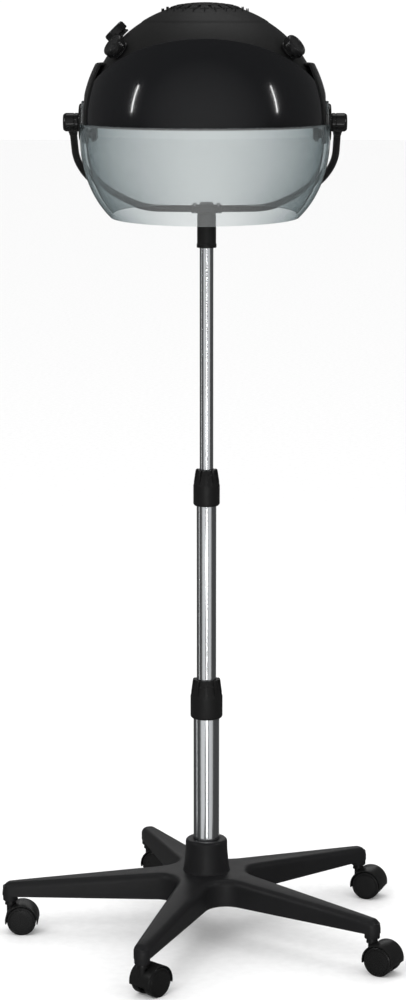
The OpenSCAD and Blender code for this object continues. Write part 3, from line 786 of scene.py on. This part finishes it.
def grip_collar(node, bore, tube_r, mouth, body):
    """A grip collar: a drum with wings above it. Its throat clears the collet in the tube's mouth."""
    low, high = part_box(node)
    r, z0, z1 = (high[0] - low[0]) / 2, low[2], high[2]
    waist = z0 + (z1 - z0) * 0.56
    throat = tube_r + 0.5 * MM
    outline = rounded([
        (bore + 0.4 * MM, z0), (r - 2.5 * MM, z0), (r, z0 + 3 * MM), (r, waist),
        (r - 1.9 * MM, waist + 7 * MM), (r - 5.6 * MM, z1 - 4 * MM), (r - 6 * MM, z1 - 0.6 * MM),
        (throat, z1 - 0.6 * MM), (throat, mouth + 18.6 * MM), (tube_r + 2.9 * MM, mouth + 18.6 * MM),
        (bore + 1.9 * MM, mouth + 10.8 * MM), (bore + 1.9 * MM, mouth - 1 * MM),
        (bore + 0.4 * MM, mouth - 1 * MM)], 0.9 * MM, 3)
    profile = [(-9 * MM, waist - 4 * MM), (-0.2 * MM, waist - 2 * MM), (-0.3 * MM, waist + 6 * MM),
               (-3.2 * MM, z1 - 3 * MM), (-4.6 * MM, z1), (-8.5 * MM, z1)]
    wing = flat_rib(profile, lambda x: 2.1 * MM, 0.7 * MM, 2)
    wings = ring_of(wing, 10, r, collar_black, Matrix.Rotation(math.pi / 10, 4, "Z"))
    ridge = block((-1.0 * MM, -0.8 * MM, z0 + 5 * MM), (-0.05 * MM, 0.8 * MM, waist - 5 * MM), 0.35 * MM)
    ridges = ring_of(ridge, 32, r, collar_black, HERE)
    pin = rounded(band(0, 1.7 * MM, -4 * MM, -0.1 * MM), 0.5 * MM)
    pin_at = facing((0, -1, 0), (0, -r, z0 + (z1 - z0) * 0.4))
    piece(f"{node}_grip", [(spin(outline, 96), HERE), (spin(pin, 24), pin_at)], collar_black, body,
          [node], extra=[wings, ridges])


grip_collar("lower_collar", 22.25 * MM, 16.75 * MM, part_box("lower_tube")[1][2], "lower_collar")
grip_collar("upper_collar", 16.75 * MM, 11.5 * MM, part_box("mid_tube")[1][2], "upper_collar")

# %% [markdown]
# ## The yoke
# One bent rod carries the hood. Its line is two straight legs, a long bend, a tight bend and a
# crossbar, all in a plane that slopes back to the mast. The bar tree sweeps it.

# %% Yoke rod and fittings
socket_low, socket_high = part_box("swivel_socket")
bracket_low, bracket_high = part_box("yoke_bracket")
ROD_R = 5.8 * MM
CROSS_Z = bracket_low[2] + 7 * MM
down = Vector((0, -pivot.y, CROSS_Z - pivot.z))
REACH = down.length
down.normalize()
LEG_X, BEND_R, BEND_S, CORNER_R, ROD_TOP = 208 * MM, 220 * MM, 85 * MM, 66 * MM, 22 * MM
corner_turn = math.asin((REACH - BEND_S - CORNER_R) / (BEND_R - CORNER_R))
corner_x = LEG_X - (BEND_R - CORNER_R) * (1 - math.cos(corner_turn)) - CORNER_R
side_line = [(LEG_X, ROD_TOP + (BEND_S - ROD_TOP) * i / 6) for i in range(7)]
side_line += [(LEG_X - BEND_R + BEND_R * math.cos(a), BEND_S + BEND_R * math.sin(a))
              for a in (corner_turn * i / 24 for i in range(1, 25))]
side_line += [(corner_x + CORNER_R * math.cos(a), REACH - CORNER_R + CORNER_R * math.sin(a))
              for a in (corner_turn + (math.pi / 2 - corner_turn) * i / 12 for i in range(1, 13))]
rod_points = [pivot + Vector((x, 0, 0)) + down * s for x, s in side_line]
rod_points += [pivot + Vector((-x, 0, 0)) + down * s for x, s in reversed(side_line)]
piece("yoke_rod_bent", [], yoke_black, "yoke", ["yoke_rod"],
      extra=[bar_along(rod_points, ROD_R, yoke_black, sides=32)])

# %% [markdown]
# Where the rod ends, a ferrule runs up into a fat pivot barrel; where it crosses the mast, a
# bracket sits on a swivel socket. All but the bracket are turned, so spun outlines give true edges.

# %% Ferrules, barrels, socket and bracket
ferrule_outline = rounded(mm(
    (0, 8), (4.9, 8), (4.9, 15), (7.6, 15), (7.6, 27), (6.7, 29), (6.7, 34), (6.3, 36), (5.85, 36),
    (5.85, 22), (0, 22)), 0.6 * MM)
barrel_outline = rounded(mm(
    (4.05, 197.7), (13.6, 197.7), (14.5, 199), (14.5, 203), (13.9, 203.6), (13.9, 205), (14.5, 205.6),
    (14.5, 218.5), (12, 222.2), (6, 222.6), (0, 222.6), (0, 206.2), (4.05, 206.2)),
    1.6 * MM, 4)
ferrules = [(spin(ferrule_outline, 40), facing(down, pivot + Vector((side * LEG_X, 0, 0))))
            for side in (-1, 1)]
piece("yoke_ferrules_turned", ferrules, yoke_black, "yoke", ["yoke_ferrules"])
piece("yoke_barrels_turned", at_both_pivots(barrel_outline, 64), barrel_gloss, "yoke",
      ["yoke_barrels"])

socket_r = (socket_high[0] - socket_low[0]) / 2
socket_outline = rounded([
    (11.6 * MM, socket_low[2]), (socket_r, socket_low[2]), (socket_r, socket_low[2] + 6 * MM),
    (socket_r - 0.7 * MM, socket_low[2] + 7 * MM), (socket_r - 0.7 * MM, socket_high[2] - 5 * MM),
    (socket_r - 1.2 * MM, socket_high[2]), (0, socket_high[2]), (0, socket_high[2] - 13 * MM),
    (11.6 * MM, socket_high[2] - 13 * MM)], 1.0 * MM)
piece("swivel_socket_moulded", [(spin(socket_outline, 64), HERE)], collar_black, "yoke",
      ["swivel_socket"])
bracket_top = bracket_high[2] - 4 * MM
bracket_cap = block((-11.5 * MM, -9 * MM, bracket_top - 1 * MM), (11.5 * MM, 9 * MM, bracket_high[2]),
                    1.5 * MM, 3)
bracket_body = block(bracket_low, (bracket_high[0], bracket_high[1], bracket_top), 2.2 * MM, 3)
piece("yoke_bracket_cast", [(bracket_body, HERE), (bracket_cap, HERE)], yoke_black, "yoke",
      ["yoke_bracket"])

# %% [markdown]
# ## The hood
# The dome is a plain matte moulding with a slightly raised crown. On top sits a vent cap with
# radial ribs, and short fins and two rings of small pins stand round it. The dome could be a cut
# sphere, but a turned outline gives its wall, its ledge and its rim in one go.

# %% Dome and vent
DOME_R, RIM_Z = 184 * MM, -5 * MM
cap_low, cap_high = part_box("vent_cap")
CAP_R = (cap_high[0] - cap_low[0]) / 2


def arc_points(radius, from_z, to_z, steps):
    """(radius, height) points along a sphere's upright section between two heights."""
    a, b = math.asin(from_z / radius), math.asin(to_z / radius)
    return [(radius * math.cos(a + (b - a) * i / steps), radius * math.sin(a + (b - a) * i / steps))
            for i in range(steps + 1)]


LEDGE = 0.8 * MM


def dome_skin(depth):
    """The dome's section from rim to vent. Its crown is a raised disc that ends in a small ledge."""
    line = []
    vent_z = math.sqrt(DOME_R ** 2 - (CAP_R - 3.2 * MM) ** 2)
    for r, z in arc_points(DOME_R, RIM_Z, vent_z, 110):
        stepped_in = min(1.0, max(0.0, (r - 97 * MM) / (3 * MM)))
        eased_out = min(1.0, max(0.0, (140 * MM - r) / (40 * MM)))
        scale = 1 - (LEDGE * stepped_in * eased_out + depth) / DOME_R
        line.append((r * scale, z * scale))
    return line


dome_outline = dome_skin(0) + list(reversed(dome_skin(3 * MM)))


def pin_ring(radius, count):
    """Small upright pins on the dome at a plan radius."""
    foot = math.sqrt(DOME_R ** 2 - radius ** 2) - 0.6 * MM
    post = spin(rounded(mm((0, 0), (1.1, 0), (0.8, 4.6), (0, 4.6)), 0.4 * MM, 2), 10)
    return ring_of(post, count, radius, dome_black, AT_HOOD @ Matrix.Translation((0, 0, foot)))


def on_dome(x, rise):
    """An (outward, up) point that stands off the dome's skin, both in millimetres."""
    return (x * MM, math.sqrt(DOME_R ** 2 - (x * MM) ** 2) + rise * MM)


fin_line = [on_dome(46, 2.2), on_dome(52, 1.9), on_dome(57, 0.4), on_dome(57, -0.6), on_dome(46, -0.6)]
fin = flat_rib(fin_line, lambda x: 0.115 * x, 0.3 * MM)
fins = ring_of(fin, 20, 0.001 * MM, dome_black, AT_HOOD)
piece("dome_moulding", [(spin(dome_outline, 128), AT_HOOD)], dome_black, "hood",
      ["dome_shell"], extra=[fins, pin_ring(59.5 * MM, 24), pin_ring(67 * MM, 24)])

# %% [markdown]
# The vent cap is five concentric rings over a tray, tied together by ribs. Real slots between
# them read better than a bump map, because the dark gaps come from depth.

# %% Vent cap
def cap_top(r):
    """Height of the vent cap's crown at a distance from its middle."""
    return 185.1 * MM - 2.05 * r * r


CAP_RINGS = ((0, 3.6), (6.2, 13), (15.6, 22.4), (25, 31.8), (34.4, 44.4))
rings = []
for inner_mm, outer_mm in CAP_RINGS:
    a, b = inner_mm * MM, outer_mm * MM
    low_z = cap_top(b) - 2.6 * MM
    if b > 44 * MM:
        low_z = 179.5 * MM
    outline = rounded([(a, low_z), (b, low_z), (b, cap_top(b)), ((a + b) / 2, cap_top((a + b) / 2)),
                       (a, cap_top(a))], 0.5 * MM)
    rings.append((spin(outline, 96), AT_HOOD))
cap_tray = mm((0, 175.5), (41, 175.5), (41, 180), (39.5, 180), (39.5, 177), (0, 177))
rib = flat_rib([(r * MM, cap_top(r * MM) - drop * MM) for r, drop in
                ((3, 2.2), (20, 2.2), (38, 1.9), (38, 4.4), (20, 5.2), (3, 5.2))],
               lambda x: 0.6 * MM + 0.04 * x, 0.3 * MM)
ribs = ring_of(rib, 28, 0.001 * MM, dome_black, AT_HOOD)
piece("vent_cap_ribbed", rings + [(spin(cap_tray, 64), AT_HOOD)], dome_black, "hood",
      ["vent_cap"], extra=[ribs])

# %% [markdown]
# The front cowl's top edge lies in a plane that slopes up and forward. On a sphere, the height of
# that edge at each way round has a closed form, so the grid's top row follows it exactly.

# %% Front cowl
COWL_R, COWL_T = 191.5 * MM, 3 * MM
EDGE_RISE, EDGE_SLOPE, COWL_JOINT = 19 * MM, 0.787, 60 * MM
RIM_LIFT = math.asin(RIM_Z / COWL_R)


def cowl_point(u, v, side):
    """A point on the cowl: u runs from end to end, v from the rim to the sloping edge."""
    radius = COWL_R - COWL_T * side
    way, lift = 0.0, 0.0
    for _ in range(8):
        reach = min(1.0, COWL_JOINT / (COWL_R * math.cos(lift)))
        way = (2 * u - 1) * math.acos(reach)
        slant = EDGE_SLOPE * math.cos(way)
        top = math.asin(EDGE_RISE / COWL_R / math.sqrt(1 + slant * slant)) + math.atan(slant)
        lift = RIM_LIFT + (top - RIM_LIFT) * v
    x = radius * math.cos(lift) * math.sin(way)
    return Vector((max(-188 * MM, min(188 * MM, x)), -radius * math.cos(lift) * math.cos(way),
                   radius * math.sin(lift)))


lip_line = [pivot + cowl_point(i / 120, 0, 0) + Vector((0, 0, 0.9 * MM)) for i in range(121)]
top_line = [pivot + cowl_point(i / 120, 1, 0.3) for i in range(121)]
piece("front_cowl_gloss", [(grid_shell(cowl_point, 56, 120), AT_HOOD)], cowl_gloss, "hood",
      ["front_cowl"], extra=[bar_along(lip_line, 1.15 * MM, cowl_gloss, sides=12),
                               bar_along(top_line, 0.9 * MM, cowl_gloss, sides=10)])

# %% [markdown]
# The rear cowl is a turned band with a flat shelf on top, which shows from the front as two
# square shoulders. Flats are pressed into it beside the tilt pivots.

# %% Rear cowl
REAR_R, SHOULDER_Z, FLAT_X = 193.5 * MM, 92 * MM, 188 * MM
END_TURN = math.radians(17.5)
rear_outline = arc_points(REAR_R, RIM_Z, SHOULDER_Z - 1.5 * MM, 40)
rear_outline += [(math.sqrt(REAR_R ** 2 - SHOULDER_Z ** 2) - 1.2 * MM, SHOULDER_Z - 0.3 * MM),
                 (math.sqrt(REAR_R ** 2 - SHOULDER_Z ** 2) - 2.4 * MM, SHOULDER_Z)]
rear_outline += [(math.sqrt(DOME_R ** 2 - SHOULDER_Z ** 2) + 0.1 * MM, SHOULDER_Z),
                 (math.sqrt(DOME_R ** 2 - SHOULDER_Z ** 2) + 1.8 * MM, SHOULDER_Z - 3 * MM)]
rear_outline += list(reversed(arc_points(REAR_R - 3.5 * MM, RIM_Z, SHOULDER_Z - 3 * MM, 32)))
rear_band = spin(rear_outline, 144, -END_TURN, math.pi + 2 * END_TURN)
for vert in rear_band.verts:
    vert.co.x = max(-FLAT_X, min(FLAT_X, vert.co.x))
ear_outline = rounded(band(5 * MM, 34 * MM, 184.5 * MM, 187.9 * MM), 1.0 * MM)
piece("rear_cowl_moulded", [(rear_band, AT_HOOD)] + at_both_pivots(ear_outline, 72), dome_black, "hood",
      ["rear_cowl"])

# %% [markdown]
# ## Smoked sheets
# The visor in front and the skirt behind are formed sheets. Their plan is an oval that narrows
# downwards along a superellipse, so the sides stay full and then turn in. Both have real
# thickness, because the dye in the sheet only darkens what light has to cross.

# %% Visor and skirt
SHEET_T = 2.5 * MM


def sheet_point(z, way, inset, half, fall, deep_top, deep_low, drop):
    """A point on a smoked sheet, z under the tilt axis and way round from the front."""
    a = half * (1 - (max(0.0, -z) / fall) ** 2.5) ** 0.4 - inset
    b = deep_top + (deep_low - deep_top) * max(0.0, -z) / drop - inset
    return Vector((a * math.sin(way), -b * math.cos(way), z))


def visor_point(u, v, side):
    drop = 147 * MM
    z = -2 * MM - (drop - 2 * MM) * v
    way = math.radians(-95.2 + 190.4 * u)
    return sheet_point(z, way, SHEET_T * side, 197 * MM, 193.2 * MM, 197.5 * MM, 208 * MM, drop)


def skirt_point(u, v, side):
    drop = 141.5 * MM
    z = 6 * MM - (drop + 6 * MM) * v
    way = math.radians(86.5 + 187 * u)
    return sheet_point(z, way, SHEET_T * side, 187.5 * MM, 192.2 * MM, 188 * MM, 194 * MM, drop)


def clear_of_disc(radius):
    """A test for the cells of a sheet that leaves room round the tilt pivots for the disc."""
    return lambda co: not (abs(co[0]) > 100 * MM and math.hypot(co[1], co[2]) < radius)


cup_outline = rounded(mm(
    (9.1, 188.4), (33.2, 188.4), (33.2, 193), (30.5, 193), (30.5, 190.9), (9.1, 190.9)), 0.5 * MM)
piece("visor_smoked", [(grid_shell(visor_point, 72, 150, clear_of_disc(32.6 * MM)), AT_HOOD)]
      + at_both_pivots(cup_outline, 72), smoked, "visor", ["visor"])
piece("rear_skirt_smoked",
      [(grid_shell(skirt_point, 60, 120, clear_of_disc(34.8 * MM)), AT_HOOD)],
      smoked, "hood", ["rear_skirt"])

# %% [markdown]
# A dark disc clamps both sheets at each pivot. Under the rim a rounded block takes the bolt.

# %% Pivot discs and blocks
disc_outline = rounded(mm(
    (4.1, 188.1), (9, 188.1), (9, 191.3), (29, 191.3), (29, 195.6), (27, 197.2), (20, 197.3),
    (4.1, 197.3)), 0.8 * MM)
piece("pivot_discs_turned", at_both_pivots(disc_outline, 80), barrel_gloss, "hood",
      ["pivot_discs"])
blocks = []
for side in (0.0, math.pi):
    place = AT_HOOD @ Matrix.Rotation(side, 4, "Z")
    blocks += [(block(*mm((169.6, -24, -30), (176.9, 24, 27.9)), 3 * MM, 4), place),
               (block(*mm((170.2, -24, -30), (182.9, 24, -5.6)), 6 * MM, 5), place)]
piece("pivot_blocks_rounded", blocks, block_grey, "hood", ["pivot_blocks"])

# %% [markdown]
# ## Controls
# Three turned knobs with a knurled grip stand square on the dome. Each is spun about its own
# joint's axis, so it turns in place.

# %% Knobs
KNOB_R, KNOB_HIGH = 18.5 * MM, 19 * MM


def knob(name):
    """A turned knob with grip ridges, on its own joint's axis."""
    place = facing(joints[f"{name}_turn"]["axis"], pivot)
    low = DOME_R + 0.6 * MM
    top = low + KNOB_HIGH
    cap, foot = KNOB_R - 0.7 * MM, KNOB_R - 2.6 * MM
    outline = rounded([
        (0, 160 * MM), (3 * MM, 160 * MM), (3 * MM, low), (foot, low), (foot, low + 2.8 * MM),
        (foot - 1 * MM, low + 3.6 * MM), (foot - 1.6 * MM, low + 3.8 * MM),
        (foot - 1.6 * MM, low + 5.4 * MM), (cap, low + 5.8 * MM), (cap, top - 1.6 * MM),
        (cap - 1.6 * MM, top), (cap - 4.6 * MM, top),
        (cap - 5.4 * MM, top - 0.8 * MM), (0, top - 0.8 * MM)], 0.8 * MM)
    ridge = block((-0.7 * MM, -0.8 * MM, low + 6.6 * MM), (0.55 * MM, 0.8 * MM, top - 2.2 * MM),
                  0.35 * MM)
    ridges = ring_of(ridge, 26, cap, knob_gloss, place)
    mark = block((3 * MM, -0.8 * MM, top - 1.2 * MM), (cap - 6 * MM, 0.8 * MM, top - 0.1 * MM), 0.3 * MM)
    piece(f"{name}_turned", [(spin(outline, 56), place), (mark, place)], knob_gloss, name,
          [name], extra=[ridges])


for name in ("timer_knob", "heat_knob", "speed_knob"):
    knob(name)

# %% [markdown]
# ## Inside the hood
# Looking up into the hood shows a perforated bowl. It is a grid of small panels with a hole inset
# in each, thickened afterwards.

# %% Inner bowl
BOWL_R, BOWL_Z = 184.7 * MM, -79.7 * MM


def perforated_bowl():
    """A cap of a sphere with rows of holes."""
    mesh = bmesh.new()
    top_lift = math.pi / 2 - math.radians(3)
    rim_lift = math.asin((-4 * MM - BOWL_Z) / BOWL_R)
    rows, columns = 22, 96
    radius = BOWL_R - 0.1 * MM
    grid = []
    for i in range(rows + 1):
        lift = rim_lift + (top_lift - rim_lift) * i / rows
        grid.append([mesh.verts.new((radius * math.cos(lift) * math.cos(2 * math.pi * j / columns),
                                     radius * math.cos(lift) * math.sin(2 * math.pi * j / columns),
                                     BOWL_Z + radius * math.sin(lift))) for j in range(columns)])
    holes = []
    for i in range(rows):
        for j in range(columns):
            n = (j + 1) % columns
            face = mesh.faces.new((grid[i][j], grid[i][n], grid[i + 1][n], grid[i + 1][j]))
            every = 2 if i < 13 else 4
            if 2 <= i < 20 and i % 2 == 0 and j % every == (i // 2) % 2:
                holes.append(face)
    mesh.faces.new(grid[-1])
    bmesh.ops.inset_individual(mesh, faces=holes, thickness=1.6 * MM)
    bmesh.ops.delete(mesh, geom=holes, context="FACES_ONLY")
    bmesh.ops.recalc_face_normals(mesh, faces=mesh.faces)
    return mesh


bowl = piece("inner_bowl_perforated", [(perforated_bowl(), AT_HOOD)], bowl_grey, "hood",
             ["inner_bowl"])
wall = bowl.modifiers.new("wall", "SOLIDIFY")
wall.thickness, wall.offset = 1.8 * MM, -1.0

# %% [markdown]
# A ribbed gland at the back guides the mains cord. Its ribs are part of the turned outline.

# %% Cord gland
gland_outline = rounded(mm(
    (4.1, 176), (9, 176), (9, 190), (12.5, 190), (12.5, 193), (9, 195), (8.6, 198), (7.9, 198.6),
    (8.2, 201), (7.5, 201.6), (7.8, 204), (7.1, 204.6), (7.4, 207), (6.8, 212), (4.1, 212)), 0.5 * MM)
gland_at = facing((0, 1, 0), pivot + Vector((45 * MM, 0, 25 * MM)))
piece("cord_gland_ribbed", [(spin(gland_outline, 48), gland_at)], collar_black, "hood",
      ["cord_gland"])

# %% [markdown]
# ## Finishes for the parts that keep their packed shape
# Bolts, axles, bushes and the machinery inside the dome are already the right shape. They only
# need a finish.

# %% Dress the rest
KEPT = {
    zinc: ["base_bolt", "caster_stems", "bracket_screws", "pivot_bolts",
           *(f"caster_axle_{n}" for n in range(1, 6))],
    collar_black: ["lower_collet", "upper_collet", "control_bodies"],
    natural_nylon: ["mid_guide", "upper_guide", "impeller"],
    sheet_metal: ["motor_mount", "motor", "thermostat"],
    mica: ["heater_former"],
    element_wire: ["heater_coil"],
}
for material, names in KEPT.items():
    for name in names:
        data = frame["nodes"][name].data
        data.materials.clear()
        data.materials.append(material)
print("dressed:", sum(len(v) for v in KEPT.values()), "packed nodes")

# %% [markdown]
